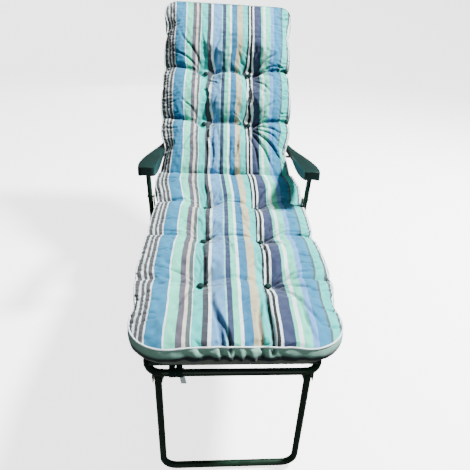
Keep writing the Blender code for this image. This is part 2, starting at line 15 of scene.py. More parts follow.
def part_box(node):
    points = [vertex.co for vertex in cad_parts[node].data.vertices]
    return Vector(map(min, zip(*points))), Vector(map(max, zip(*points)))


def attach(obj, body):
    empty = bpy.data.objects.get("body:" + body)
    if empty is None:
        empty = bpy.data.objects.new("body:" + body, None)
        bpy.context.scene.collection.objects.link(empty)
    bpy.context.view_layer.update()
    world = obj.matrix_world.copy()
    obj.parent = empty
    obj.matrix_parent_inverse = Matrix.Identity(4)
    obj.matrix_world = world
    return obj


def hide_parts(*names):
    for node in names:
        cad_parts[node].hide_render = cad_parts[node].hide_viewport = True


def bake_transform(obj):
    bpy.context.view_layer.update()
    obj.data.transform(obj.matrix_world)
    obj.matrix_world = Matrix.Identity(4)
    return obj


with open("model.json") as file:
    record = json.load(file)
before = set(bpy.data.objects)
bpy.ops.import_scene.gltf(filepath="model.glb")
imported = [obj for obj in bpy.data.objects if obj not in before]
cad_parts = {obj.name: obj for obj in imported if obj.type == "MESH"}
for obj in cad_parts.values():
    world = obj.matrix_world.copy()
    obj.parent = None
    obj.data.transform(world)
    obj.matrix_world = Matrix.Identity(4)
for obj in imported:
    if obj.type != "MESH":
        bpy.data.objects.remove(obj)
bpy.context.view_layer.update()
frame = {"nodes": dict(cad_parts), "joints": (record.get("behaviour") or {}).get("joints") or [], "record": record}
SCENE = bpy.context.scene
NODES = frame["nodes"]
JOINTS = {joint["name"]: joint for joint in frame["joints"]}
BODY_OF = {node: body for body, members in frame["record"]["behaviour"]["bodies"].items()
           for node in members}
SIDES = ((-1, "left"), (1, "right"))


# ---- Places, read from the frame ------------------------------------------------------

def centre(node):
    low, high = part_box(node)
    return (Vector(low) + Vector(high)) / 2


HINGE = Vector(JOINTS["back_recline"]["pos_m"])
KNEE = Vector(JOINTS["legrest_lift"]["pos_m"])
TUBE_R = (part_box("seat_rail_left")[1][2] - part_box("seat_rail_left")[0][2]) / 2
BUTTON_X = centre("seat_button_1_right").x


class Plane:
    """One flat section of the frame: x across, s along it, n above its tube axes."""

    def __init__(self, origin, along):
        self.origin = np.array(origin, float)
        self.along = np.array(along, float) / np.linalg.norm(along)
        self.up = np.cross([1.0, 0.0, 0.0], self.along)

    def to_world(self, x, s, n):
        x, s, n = np.broadcast_arrays(x, s, n)
        across = np.zeros(x.shape + (3,))
        across[..., 0] = x
        return self.origin + across + s[..., None] * self.along + n[..., None] * self.up

    def s_of(self, point):
        return float(np.dot(np.array(point) - self.origin, self.along))


SEAT = Plane(HINGE, (0, 1, 0))
BACK = Plane(HINGE, centre("back_button_2_left") - centre("back_button_1_left"))
SEAT_ROWS = [SEAT.s_of(centre(name)) for name in
             ("legrest_button_left", "seat_button_2_left", "seat_button_1_left")]
BACK_ROWS = [BACK.s_of(centre(name)) for name in ("back_button_1_left", "back_button_2_left")]


# ---- Camera, floor and light ----------------------------------------------------------

def make_camera():
    """The viewpoint: above the foot end, a little to the left, looking down the lounger."""
    place = (-0.0529, -1.4383, 1.1710)
    pitch, yaw, roll = (math.radians(angle) for angle in (30.1, 5.36, -3.65))
    ahead = Vector((math.sin(yaw) * math.cos(pitch), math.cos(yaw) * math.cos(pitch),
                    -math.sin(pitch)))
    level = Vector((math.cos(yaw), -math.sin(yaw), 0.0))
    down = ahead.cross(level)
    right = math.cos(roll) * level + math.sin(roll) * down
    below = -math.sin(roll) * level + math.cos(roll) * down
    data = bpy.data.cameras.new("camera")
    data.sensor_width = 36.0
    data.lens = 31.56
    data.shift_x = -0.0277
    data.shift_y = -0.0080
    camera = bpy.data.objects.new("camera", data)
    turn = Matrix((right, -below, -ahead)).transposed().to_4x4()
    camera.matrix_world = Matrix.Translation(place) @ turn
    SCENE.collection.objects.link(camera)
    SCENE.camera = camera


def area_light(name, place, target, size, power, glossy=True):
    """A round soft light; one that is not glossy leaves no sheen on the plastic."""
    data = bpy.data.lights.new(name, "AREA")
    data.shape = "DISK"
    data.size = size
    data.energy = power
    light = bpy.data.objects.new(name, data)
    light.visible_glossy = glossy
    light.location = place
    light.rotation_euler = (Vector(target) - Vector(place)).to_track_quat("-Z", "Y").to_euler()
    SCENE.collection.objects.link(light)


def make_studio():
    """A round pale floor whose rim curves up all about it, and light from the right and above."""
    bm = bmesh.new()
    flat, bend, top, sides = 6.0, 3.0, 10.0, 72
    profile = [(2.0, 0.0), (4.0, 0.0)]
    profile += [(flat + bend * math.sin(a), bend - bend * math.cos(a))
                for a in (math.pi / 2 * k / 12 for k in range(13))]
    profile += [(flat + bend, top)]
    rings = []
    for reach, height in profile:
        rings.append([bm.verts.new((reach * math.cos(a), reach * math.sin(a), height))
                      for a in (2 * math.pi * k / sides for k in range(sides))])
    middle = bm.verts.new((0.0, 0.0, 0.0))
    for k in range(sides):
        after = (k + 1) % sides
        bm.faces.new((middle, rings[0][k], rings[0][after]))
        for inner, outer in zip(rings, rings[1:]):
            bm.faces.new((inner[k], outer[k], outer[after], inner[after]))
    mesh = bpy.data.meshes.new("studio_floor")
    bm.to_mesh(mesh)
    bm.free()
    mesh.shade_smooth()
    floor = bpy.data.objects.new("studio_floor", mesh)
    SCENE.collection.objects.link(floor)
    mesh.materials.append(Nodes("studio_floor").finish(
        Base_Color=(0.92, 0.92, 0.915, 1), Roughness=0.95,
        Emission_Color=(1, 1, 1, 1), Emission_Strength=2.8))
    floor.visible_diffuse = False
    floor.visible_glossy = False
    area_light("key", (2.60, 0.15, 3.7), (0, 0.1, 0.4), 0.65, 800)
    area_light("top", (-0.4, 0.6, 3.8), (0, 0, 0.3), 3.0, 18)
    area_light("fill", (0.3, -4.0, 1.3), (0, -0.5, 0.4), 2.5, 28)
    area_light("rear", (-1.0, 4.2, 1.5), (0, 0.4, 0.5), 2.5, 30, glossy=False)
    world = bpy.data.worlds.new("studio_world")
    world.use_nodes = True
    background = world.node_tree.nodes["Background"]
    background.inputs["Color"].default_value = (1, 1, 1, 1)
    background.inputs["Strength"].default_value = 0.15
    SCENE.world = world


# ---- Node materials -------------------------------------------------------------------

class Nodes:
    """A material under construction, with short forms for the nodes used most."""

    def __init__(self, name):
        self.material = bpy.data.materials.new(name)
        self.material.use_nodes = True
        self.tree = self.material.node_tree
        self.shader = self.tree.nodes["Principled BSDF"]
        self.coords = self.tree.nodes.new("ShaderNodeTexCoord")

    def link(self, source, target):
        self.tree.links.new(source, target)

    def add(self, kind, **settings):
        node = self.tree.nodes.new("ShaderNode" + kind)
        for key, value in settings.items():
            setattr(node, key, value)
        return node

    def fill(self, node, **values):
        """Set or link inputs by name; underscores stand for spaces."""
        for key, value in values.items():
            socket = node.inputs[key.replace("_", " ")]
            if isinstance(value, bpy.types.NodeSocket):
                self.link(value, socket)
            else:
                socket.default_value = value
        return node

    def finish(self, **values):
        """Fill the shader's inputs and hand over the material."""
        self.fill(self.shader, **values)
        return self.material

    def math(self, operation, first, second=None):
        node = self.add("Math", operation=operation)
        for socket, value in zip(node.inputs, (first, second)):
            if isinstance(value, bpy.types.NodeSocket):
                self.link(value, socket)
            elif value is not None:
                socket.default_value = value
        return node.outputs[0]

    def noise(self, scale, detail=3.0, roughness=0.5, vector=None):
        node = self.add("TexNoise")
        self.fill(node, Scale=scale, Detail=detail, Roughness=roughness)
        self.link(vector or self.coords.outputs["Object"], node.inputs["Vector"])
        return node.outputs["Fac"]

    def ramp(self, value, stops, constant=False):
        node = self.add("ValToRGB")
        node.color_ramp.interpolation = "CONSTANT" if constant else "LINEAR"
        elements = node.color_ramp.elements
        while len(elements) < len(stops):
            elements.new(0.5)
        for element, (place, colour) in zip(elements, stops):
            element.position = place
            element.color = (*colour, 1.0)
        self.link(value, node.inputs["Fac"])
        return node.outputs["Color"]

    def mix(self, factor, first, second, blend="MIX"):
        node = self.add("Mix", data_type="RGBA", blend_type=blend)
        for socket, value in zip((node.inputs[0], node.inputs[6], node.inputs[7]),
                                 (factor, first, second)):
            if isinstance(value, bpy.types.NodeSocket):
                self.link(value, socket)
            elif isinstance(value, tuple):
                socket.default_value = (*value, 1.0)
            else:
                socket.default_value = value
        return node.outputs[2]

    def weave(self, scale, distortion, detail=0.0):
        """Two crossed sets of bands along the cloth coordinates."""
        bands = []
        for direction in ("X", "Y"):
            wave = self.add("TexWave", wave_type="BANDS", bands_direction=direction)
            self.fill(wave, Scale=scale, Distortion=distortion, Detail=detail)
            uv = self.add("UVMap", uv_map="cloth")
            self.link(uv.outputs["UV"], wave.inputs["Vector"])
            bands.append(wave.outputs["Fac"])
        return self.math("MULTIPLY", *bands)

    def bump(self, height, strength, distance, normal=None):
        node = self.add("Bump")
        self.fill(node, Height=height, Strength=strength, Distance=distance)
        if normal is not None:
            self.link(normal, node.inputs["Normal"])
        return node.outputs["Normal"]


def grey(value):
    return (value, value, value)


def srgb(code):
    """A linear colour from an sRGB hex code."""
    channels = [int(code[k:k + 2], 16) / 255 for k in (0, 2, 4)]
    return tuple(c / 12.92 if c <= 0.04045 else ((c + 0.055) / 1.055) ** 2.4 for c in channels)


DYES = {name: srgb(code) for name, code in {
    "white": "e1f3f4", "charcoal": "4f5054", "grey": "4c5c5d", "blue": "2a7da4",
    "mint": "62d8b8", "mauve": "555460", "peach": "cdc4b8", "aqua": "3bc1b8",
    "dusk": "3a3f47", "lilac": "6498d1", "sky": "5f97c4", "foam": "7ccfcc",
    "slate": "323d5c", "sand": "b6ae8f", "sea": "286f96", "night": "1a1c21",
}.items()}

# The woven stripes from the left edge to the right edge: dye and relative width
STRIPES = [
    ("charcoal", 23), ("white", 9), ("charcoal", 14), ("white", 7),
    ("charcoal", 15), ("white", 7), ("blue", 67), ("white", 6), ("mint", 42),
    ("mauve", 22), ("peach", 15), ("grey", 16), ("white", 4), ("aqua", 41),
    ("dusk", 23), ("white", 14), ("sky", 55), ("foam", 8), ("slate", 24),
    ("mint", 24), ("white", 12), ("sea", 38), ("sand", 35), ("aqua", 35),
    ("night", 11), ("white", 10), ("night", 11), ("white", 12), ("slate", 46),
    ("mint", 14), ("white", 16), ("mint", 35), ("lilac", 24), ("blue", 48),
    ("grey", 10), ("aqua", 42), ("grey", 13), ("white", 12),
]
PRINT_HALF = 0.262          # half width of the striped panel
SIDE_BAND = 1.0             # the boxing's height is stored from this value upward
SIDE_SPLIT = 0.7            # between the widest panel and the boxing's values


def stripe_colour(nodes, across):
    """Dye colour at a distance across the panel; two ramps share the many stripes."""
    total = sum(width for _, width in STRIPES)
    edges = []
    run = 0.0
    for dye, width in STRIPES:
        edges.append((run / total, DYES[dye]))
        run += width
    scaled = nodes.math("MULTIPLY_ADD", across, 0.5 / PRINT_HALF)
    scaled.node.inputs[2].default_value = 0.5
    half = len(edges) // 2
    parts = []
    for group, start in ((edges[:half], 0.0), (edges[half:], edges[half][0])):
        parts.append(nodes.ramp(scaled, [(max(place, 0.0), dye) for place, dye in group], True))
    later = nodes.math("GREATER_THAN", scaled, edges[half][0])
    return nodes.mix(later, parts[0], parts[1])


def cotton(name, striped):
    """Printed cotton: fine plain weave, soft sheen, slightly uneven dye, and painted shade mixed with soil in the
    folds.
    """
    nodes = Nodes(name)
    uv = nodes.add("UVMap", uv_map="cloth")
    wander = nodes.noise(60.0, 2.0)
    split = nodes.add("SeparateXYZ")
    nodes.link(uv.outputs["UV"], split.inputs[0])
    shift = nodes.math("MULTIPLY", nodes.math("SUBTRACT", wander, 0.5), 0.0012)
    across = nodes.math("ADD", split.outputs["X"], shift)
    if striped:
        top = stripe_colour(nodes, across)
        height = nodes.math("SUBTRACT", across, SIDE_BAND)
        side = nodes.ramp(height, [
            (0.0, srgb("747c72")), (0.30, srgb("6c746c")), (0.37, srgb("242f33")),
            (0.55, srgb("1e2a30")), (0.62, srgb("5c8276")), (0.70, srgb("7aab9b")),
            (0.96, srgb("88b8a8")),
        ])
        on_side = nodes.math("GREATER_THAN", across, SIDE_SPLIT)
        colour = nodes.mix(on_side, top, side)
    else:
        colour = DYES["white"]
    cloudy = nodes.noise(9.0, 4.0, 0.6)
    tone = nodes.ramp(cloudy, [(0.3, (0.90, 0.90, 0.91)), (0.7, grey(1.0))])
    colour = nodes.mix(1.0, colour, tone, "MULTIPLY")
    # Painted shade: the folds' depth, stored as "crease", darkens the cloth in its creases, for shade there as
    # well as soil.
    crease_darkening = nodes.add("Attribute", attribute_name="crease")
    soil_and_painted_shade = nodes.ramp(crease_darkening.outputs["Fac"], [(0.0, grey(1.0)), (1.0, (0.30, 0.32, 0.36))])
    colour = nodes.mix(1.0, colour, soil_and_painted_shade, "MULTIPLY")
    weave = nodes.weave(420.0, 0.6, 1.0)
    fleck = nodes.ramp(weave, [(0.0, grey(0.88)), (0.6, grey(1.0))])
    colour = nodes.mix(0.6, colour, fleck, "MULTIPLY")
    crumple = nodes.noise(38.0, 5.0, 0.62)
    normal = nodes.bump(weave, 0.25, 0.0004, nodes.bump(crumple, 0.35, 0.004))
    return nodes.finish(Base_Color=colour, Normal=normal, Roughness=0.88, Sheen_Weight=0.18,
                        Sheen_Roughness=0.45, Specular_IOR_Level=0.25)


def button_cloth():
    """Dark green cloth pulled over a button."""
    nodes = Nodes("button_cloth_look")
    threads = nodes.noise(900.0, 2.0)
    colour = nodes.ramp(threads, [(0.3, srgb("051b18")), (0.7, srgb("0b302b"))])
    return nodes.finish(Base_Color=colour, Normal=nodes.bump(threads, 0.5, 0.0006),
                        Roughness=0.75, Sheen_Weight=0.04, Specular_IOR_Level=0.15)


def painted_steel():
    """Satin dark green paint with a faint orange peel, dust and rubbed spots."""
    nodes = Nodes("painted_steel_look")
    dust = nodes.noise(14.0, 6.0, 0.65)
    paint = nodes.ramp(dust, [(0.30, srgb("0a1d13")), (0.62, srgb("123020")),
                              (0.85, srgb("1e4533"))])
    specks = nodes.noise(260.0, 3.0, 0.7)
    chip = nodes.ramp(specks, [(0.70, grey(0.0)), (0.74, grey(1.0))])
    paint = nodes.mix(nodes.math("MULTIPLY", chip, 0.22), paint, srgb("4a5a50"))
    rough = nodes.ramp(dust, [(0.3, grey(0.26)), (0.8, grey(0.46))])
    peel = nodes.bump(nodes.noise(600.0, 2.0), 0.10, 0.0004)
    return nodes.finish(Base_Color=paint, Roughness=rough, Normal=peel, Specular_IOR_Level=0.28)


def moulded_plastic(name, dark, light, scale=1.0):
    """Moulded plastic with a fine grain, sun-faded patches and faint scuffs."""
    nodes = Nodes(name)
    fade = nodes.noise(7.0 * scale, 5.0, 0.6)
    colour = nodes.ramp(fade, [(0.3, srgb(dark)), (0.75, srgb(light))])
    stretch = nodes.add("Mapping")
    nodes.fill(stretch, Vector=nodes.coords.outputs["Object"], Scale=(260, 14, 60))
    scuff = nodes.noise(1.0, 4.0, vector=stretch.outputs["Vector"])
    marks = nodes.ramp(scuff, [(0.62, grey(0.0)), (0.72, grey(1.0))])
    colour = nodes.mix(nodes.math("MULTIPLY", marks, 0.06), colour, srgb("6f837c"))
    rough = nodes.ramp(fade, [(0.2, grey(0.34)), (0.8, grey(0.50))])
    grain = nodes.bump(nodes.noise(1400.0, 2.0), 0.18, 0.0003)
    return nodes.finish(Base_Color=colour, Roughness=rough, Normal=grain, Specular_IOR_Level=0.2)


def zinc_plate():
    """Bright zinc with a slightly uneven polish."""
    nodes = Nodes("zinc_look")
    grain = nodes.noise(120.0, 4.0, 0.6)
    colour = nodes.ramp(grain, [(0.3, srgb("9fa3a2")), (0.7, srgb("c9cccb"))])
    rough = nodes.ramp(grain, [(0.3, grey(0.24)), (0.7, grey(0.42))])
    return nodes.finish(Base_Color=colour, Roughness=rough, Metallic=1.0)


def sling_weave():
    """Open basket weave of flat synthetic yarn."""
    nodes = Nodes("sling_look")
    weave = nodes.weave(95.0, 0.0)
    colour = nodes.ramp(weave, [(0.05, srgb("0e1d17")), (0.5, srgb("234437")),
                                (0.9, srgb("31584a"))])
    fade = nodes.noise(6.0, 4.0)
    colour = nodes.mix(nodes.math("MULTIPLY", fade, 0.25), colour, srgb("4a6358"))
    return nodes.finish(Base_Color=colour, Normal=nodes.bump(weave, 0.6, 0.0012), Roughness=0.7,
                        Sheen_Weight=0.1)


MATERIALS = {
    "striped_cotton": cotton("striped_cotton_look", True),
    "piping_cotton": cotton("piping_cotton_look", False),
    "button_cloth": button_cloth(),
    "painted_steel": painted_steel(),
    "arm_plastic": moulded_plastic("arm_plastic_look", "081b19", "102f2c"),
    "glide_plastic": moulded_plastic("glide_plastic_look", "16191a", "2b3030", 2.0),
    "zinc": zinc_plate(),
    "sling_cloth": sling_weave(),
}


def finish_nodes():
    """Give every CAD node that stays the full material of its slot."""
    for part in frame["record"]["subparts"]:
        obj = NODES[part["node"]]
        material = MATERIALS[part["material_slot"]]
        if not obj.material_slots:
            obj.data.materials.append(material)
        for holder in obj.material_slots:
            holder.material = material


# ---- Meshes ---------------------------------------------------------------------------

def mesh_object(name, points, faces, cloth=None):
    """A smooth mesh object, with the cloth coordinates of its face corners in metres."""
    mesh = bpy.data.meshes.new(name)
    mesh.from_pydata(points.tolist(), [], faces)
    if cloth is not None:
        mesh.uv_layers.new(name="cloth").data.foreach_set("uv", cloth.ravel())
    mesh.shade_smooth()
    obj = bpy.data.objects.new(name, mesh)
    SCENE.collection.objects.link(obj)
    return obj


def grid_faces(grid):
    """The quads between the rows and columns of a grid of point numbers."""
    corners = [grid[:-1, :-1], grid[:-1, 1:], grid[1:, 1:], grid[1:, :-1]]
    return np.stack(corners, -1).reshape(-1, 4)


def run_along(points):
    """The distance along a line of points, from its first one."""
    steps = np.linalg.norm(np.diff(points, axis=0), axis=1)
    return np.concatenate([[0.0], np.cumsum(steps)])


def vectors(items, field):
    """A field of three numbers of every item, one row each."""
    flat = np.zeros(len(items) * 3)
    items.foreach_get(field, flat)
    return flat.reshape(-1, 3)


# ---- Cushion --------------------------------------------------------------------------

STEP = 0.0068
BUTTON_TOP = 0.0505         # rim of a button above the tube axes
BUTTON_SEAT = 0.0440        # cushion surface under a button
BUTTON_HOLD = 0.0125        # radius of the cloth held flat under a button
PIPING_R = 0.0023
BOXING = 0.060              # width of the side strip, for its number of rows


def button_places(rows):
    """x and s of every button of the rows."""
    return [(side * BUTTON_X, row) for row in rows for side, _ in SIDES]


def bell(distance, width):
    """1 at 0, falling off with a crease at 0."""
    return np.exp(-np.abs(distance) / width)


def smoothstep(value, low, high):
    t = np.clip((value - low) / (high - low), 0.0, 1.0)
    return t * t * (3 - 2 * t)


def corner_inset(distance, radius):
    """How far a rounded corner pulls the side in, at a distance from the end."""
    short = np.clip(radius - distance, 0.0, radius)
    return radius - np.sqrt(radius ** 2 - short ** 2)


def stations(first, last, first_corner, last_corner):
    """Rows along the cushion, closer together round its corners."""
    def arc(radius):
        count = max(3, round(radius * math.pi / 2 / STEP))
        angles = np.linspace(0, math.pi / 2, count + 1)
        return radius * (1 - np.cos(angles))
    middle = last - first - first_corner - last_corner
    count = round(middle / STEP)
    straight = first_corner + middle * np.arange(1, count) / count
    near = arc(first_corner)
    far = (last - first) - arc(last_corner)[::-1]
    return first + np.concatenate([near, straight, far])


class Pad:
    """A boxed cushion: a top and a bottom panel joined by a side strip."""

    def __init__(self, plane, corners, rows, shape):
        first, last = shape.FIRST, shape.LAST
        self.plane = plane
        self.rows = rows
        s_rows = stations(first, last, *corners)
        columns = 2 * round(shape.half_width(s_rows).max() / STEP)
        u = np.linspace(-1, 1, columns + 1)
        self.nu = len(u)
        self.ns = len(s_rows)
        U, S = np.meshgrid(u, s_rows)
        inset = corner_inset(S - first, corners[0]) + corner_inset(last - S, corners[1])
        gathered = shape.half_width(S) - inset - shape.pinch(S)
        self.fabric = np.stack([U * (PRINT_HALF - inset), S], -1).reshape(-1, 2)
        side = np.minimum((1 - np.abs(U)) * gathered, np.minimum(S - first, last - S))
        X = U * gathered
        N_top = shape.top(X, S, side)
        N_low = shape.base(X, S, side)
        self.own_x = X.ravel()
        X = X + shape.drift(S)
        top_points = plane.to_world(X, S, N_top).reshape(-1, 3)
        low_points = plane.to_world(X, S, N_low).reshape(-1, 3)
        self.loop = self.perimeter()
        self.side_rows = max(4, round(BOXING / STEP))
        swell = shape.swell(self.fabric[self.loop][:, 0], self.fabric[self.loop][:, 1])
        outward = self.outward(plane) * swell[:, None]
        rings = []
        for k in range(1, self.side_rows):
            t = k / self.side_rows
            ring = top_points[self.loop] * (1 - t) + low_points[self.loop] * t
            rings.append(ring + outward * math.sin(math.pi * t))
        self.points = np.concatenate([top_points] + rings + [low_points])
        self.build_faces()

    def perimeter(self):
        """Top-panel indices once round the edge, anticlockwise seen from above."""
        grid = np.arange(self.nu * self.ns).reshape(self.ns, self.nu)
        return np.concatenate([grid[0, :-1], grid[:-1, -1], grid[-1, :0:-1], grid[:0:-1, 0]])

    def outward(self, plane):
        """Unit vectors out of the side strip."""
        flat = self.fabric[self.loop]
        ahead = np.roll(flat, -1, 0) - np.roll(flat, 1, 0)
        ahead /= np.linalg.norm(ahead, axis=1, keepdims=True) + 1e-12
        out = np.zeros((len(flat), 3))
        out[:, 0] = ahead[:, 1]
        return out + (-ahead[:, 0])[:, None] * plane.along

    def build_faces(self):
        """Number the top panel first, then the side strip from the top down, then the base."""
        count = self.nu * self.ns
        size = len(self.loop)
        top = grid_faces(np.arange(count).reshape(self.ns, self.nu))
        low_start = count + size * (self.side_rows - 1)
        low = top[:, ::-1] + low_start
        rings = [self.loop]
        rings += [count + size * k + np.arange(size) for k in range(self.side_rows - 1)]
        rings += [self.loop + low_start]
        strips = []
        for upper, under in zip(rings, rings[1:]):
            strips.append(np.stack([upper, under, np.roll(under, -1), np.roll(upper, -1)], -1))
        self.faces = np.concatenate([top] + strips + [low])
        self.counts = (len(top), sum(len(s) for s in strips), len(low))
        self.low_start = low_start

    def fabric_coordinates(self):
        """The cloth coordinate of each face corner: across and along, in metres."""
        n_top, n_side, n_low = self.counts
        panel = self.fabric[self.faces[:n_top]]
        size = len(self.loop)
        strip = np.zeros((n_side, 4, 2))
        run = run_along(self.points[np.append(self.loop, self.loop[0])])
        for k in range(self.side_rows):
            high = 1 - k / self.side_rows
            low = 1 - (k + 1) / self.side_rows
            rows = slice(k * size, (k + 1) * size)
            strip[rows, 0] = np.stack([np.full(size, SIDE_BAND + high), run[:-1]], -1)
            strip[rows, 1] = np.stack([np.full(size, SIDE_BAND + low), run[:-1]], -1)
            strip[rows, 2] = np.stack([np.full(size, SIDE_BAND + low), run[1:]], -1)
            strip[rows, 3] = np.stack([np.full(size, SIDE_BAND + high), run[1:]], -1)
        under = self.fabric[self.faces[n_top + n_side:] - self.low_start]
        return np.concatenate([panel, strip, under])

    def pins(self):
        """How firmly each point is held: fully under the buttons and on the underside."""
        hold = np.zeros(len(self.points))
        hold[self.low_start:] = 1.0
        count = self.nu * self.ns
        for button_x, row in button_places(self.rows):
            r = np.hypot(self.own_x - button_x, self.fabric[:, 1] - row)
            hold[:count][r < BUTTON_HOLD] = 1.0
        return hold


SIM_FRAMES = 20
COTTON_CLOTH = {
    "quality": 5, "mass": 0.25, "tension_stiffness": 15, "compression_stiffness": 15,
    "shear_stiffness": 6, "bending_stiffness": 0.35, "use_pressure": True,
    "shrink_min": -0.04,        # the cloth is cut a little larger than the pad
}


def simulate(obj, hold, ease, pressure, cap):
    """The pad's points once blown up as cloth, none of them moved further than cap."""
    group = obj.vertex_groups.new(name="held")
    for weight in np.unique(hold):
        if weight > 0:
            group.add(np.flatnonzero(hold == weight).tolist(), float(weight), "REPLACE")
    cloth = obj.modifiers.new("cloth", "CLOTH")
    settings = cloth.settings
    for name, value in COTTON_CLOTH.items():
        setattr(settings, name, value)
    settings.uniform_pressure_force = pressure
    settings.vertex_group_mass = "held"
    settings.effector_weights.gravity = 0.0
    cloth.collision_settings.use_collision = False
    cloth.point_cache.frame_start = 1
    cloth.point_cache.frame_end = SIM_FRAMES
    for step in range(1, SIM_FRAMES + 1):
        SCENE.frame_set(step)
    graph = bpy.context.evaluated_depsgraph_get()
    after = vectors(obj.evaluated_get(graph).to_mesh().vertices, "co")
    obj.evaluated_get(graph).to_mesh_clear()
    before = vectors(obj.data.vertices, "co")
    move = after - before
    far = np.linalg.norm(move, axis=1, keepdims=True)
    move *= np.minimum(1.0, cap / np.maximum(far, 1e-9)) * ease[:, None]
    obj.modifiers.remove(cloth)
    obj.vertex_groups.remove(group)
    SCENE.frame_set(1)
    return before + move


def even_seam(points, loop, passes):
    """Take the jitter out of the seam, which the piping keeps stiff."""
    for _ in range(passes):
        seam = points[loop]
        points[loop] = seam / 2 + (np.roll(seam, 1, 0) + np.roll(seam, -1, 0)) / 4


def subdivide(obj):
    """One level of smoothing subdivision, applied."""
    modifier = obj.modifiers.new("smooth", "SUBSURF")
    modifier.levels = 1
    modifier.render_levels = 1
    graph = bpy.context.evaluated_depsgraph_get()
    mesh = bpy.data.meshes.new_from_object(obj.evaluated_get(graph))
    obj.modifiers.remove(modifier)
    old = obj.data
    name = old.name
    obj.data = mesh
    bpy.data.meshes.remove(old)
    mesh.name = name
    mesh.shade_smooth()


def swept_loop(name, points, radius, sides=8):
    """A closed round cord through points, as one welded mesh with cloth coordinates."""
    ahead = np.roll(points, -1, 0) - np.roll(points, 1, 0)
    ahead /= np.linalg.norm(ahead, axis=1, keepdims=True)
    up = np.array([0.0, 0.0, 1.0])
    side = np.cross(ahead, up)
    side /= np.linalg.norm(side, axis=1, keepdims=True) + 1e-12
    lift = np.cross(side, ahead)
    angles = 2 * math.pi * np.arange(sides) / sides
    rings = (points[:, None, :] + radius * (np.cos(angles)[None, :, None] * side[:, None, :]
             + np.sin(angles)[None, :, None] * lift[:, None, :]))
    count = len(points)
    grid = np.arange(count * sides).reshape(count, sides)
    ahead_grid = np.roll(grid, -1, 0)
    faces = np.stack([grid, ahead_grid, np.roll(ahead_grid, -1, 1), np.roll(grid, -1, 1)], -1)
    run = run_along(np.append(points, points[:1], 0))
    arc = 0.8 * radius          # one side's share of the cord's round
    uv = np.zeros((count, sides, 4, 2))
    for corner, (row, column) in enumerate(((0, 0), (1, 0), (1, 1), (0, 1))):
        uv[:, :, corner, 0] = run[row:count + row, None]
        uv[:, :, corner, 1] = (np.arange(sides) + column)[None, :] * arc
    return mesh_object(name, rings.reshape(-1, 3), faces.reshape(-1, 4).tolist(), uv)


def tuft(x, s, surface, rows):
    """Pull a panel's height down to its buttons."""
    height = surface
    for button_x, row in button_places(rows):
        r = np.hypot(x - button_x, s - row)
        pull = np.exp(-(np.clip(r - BUTTON_HOLD, 0, None) / 0.030) ** 0.9)
        height = height * (1 - pull) + BUTTON_SEAT * pull
    return height


def ripples(seed, count, low, high):
    """A smooth random field made of a few waves, as a function of x and s."""
    rng = np.random.default_rng(seed)
    waves = []
    for _ in range(count):
        length = rng.uniform(low, high)
        turn = rng.uniform(0, math.pi)
        waves.append((2 * math.pi / length * math.cos(turn), 2 * math.pi / length * math.sin(turn),
                      rng.uniform(0, 2 * math.pi)))
    return lambda x, s: sum(np.sin(a * x + b * s + c) for a, b, c in waves) / math.sqrt(count)


class SeatShape:
    """The seat and legrest part of the cushion, from the foot end to the crease."""

    FIRST = SEAT.s_of((0, -0.767, 0))
    LAST = 0.0
    CLOSE_GATHERS = 0.0014
    ROW_CREASE = 0.0022
    ROLLS = staticmethod(ripples(3, 7, 0.10, 0.25))

    def half_width(self, s):
        wide = 0.259 + 0.018 * smoothstep(s, self.FIRST + 0.10, self.FIRST + 0.32)
        return wide + 0.010 * np.exp(-((s + 0.095) / 0.05) ** 2)

    def pinch(self, s):
        return sum(0.004 * bell(s - row, 0.016) for row in SEAT_ROWS)

    def drift(self, s):
        """The cushion lies a little off the middle of its frame."""
        return 0.007 - 0.015 * smoothstep(s, -0.20, 0.0)

    def ease(self, s):
        return np.ones_like(s)

    def swell(self, x, s):
        """How far the side strip stands out, with puckers in the middle of the foot end."""
        at_foot = smoothstep(s, self.FIRST + 0.03, self.FIRST)
        tucks = np.exp(-(x / 0.11) ** 2) * np.sin(2 * math.pi * x / 0.037 + 2.4 * np.sin(31 * x))
        return 0.006 + at_foot * (0.003 + 0.0042 * tucks)

    def valleys(self, x, s):
        return np.zeros_like(x)

    def row_line(self, x, row):
        return row

    def top(self, x, s, side):
        lifted = 0.008 * smoothstep(s, self.FIRST + 0.20, self.FIRST)
        surface = 0.078 + lifted + 0.036 * smoothstep(s, -0.20, 0.0)
        inner = smoothstep(side, 0.0, 0.07)
        surface = surface + 0.010 * inner + 0.0024 * self.ROLLS(x, s) * inner
        for row in SEAT_ROWS:
            surface = surface - 0.0035 * bell(s - row, 0.030)
        return tuft(x, s, surface, SEAT_ROWS)

    def base(self, x, s, side):
        raised = 0.012 * smoothstep(side, 0.05, 0.0)
        return 0.0145 + raised + 0.012 * smoothstep(s, self.FIRST + 0.12, self.FIRST)


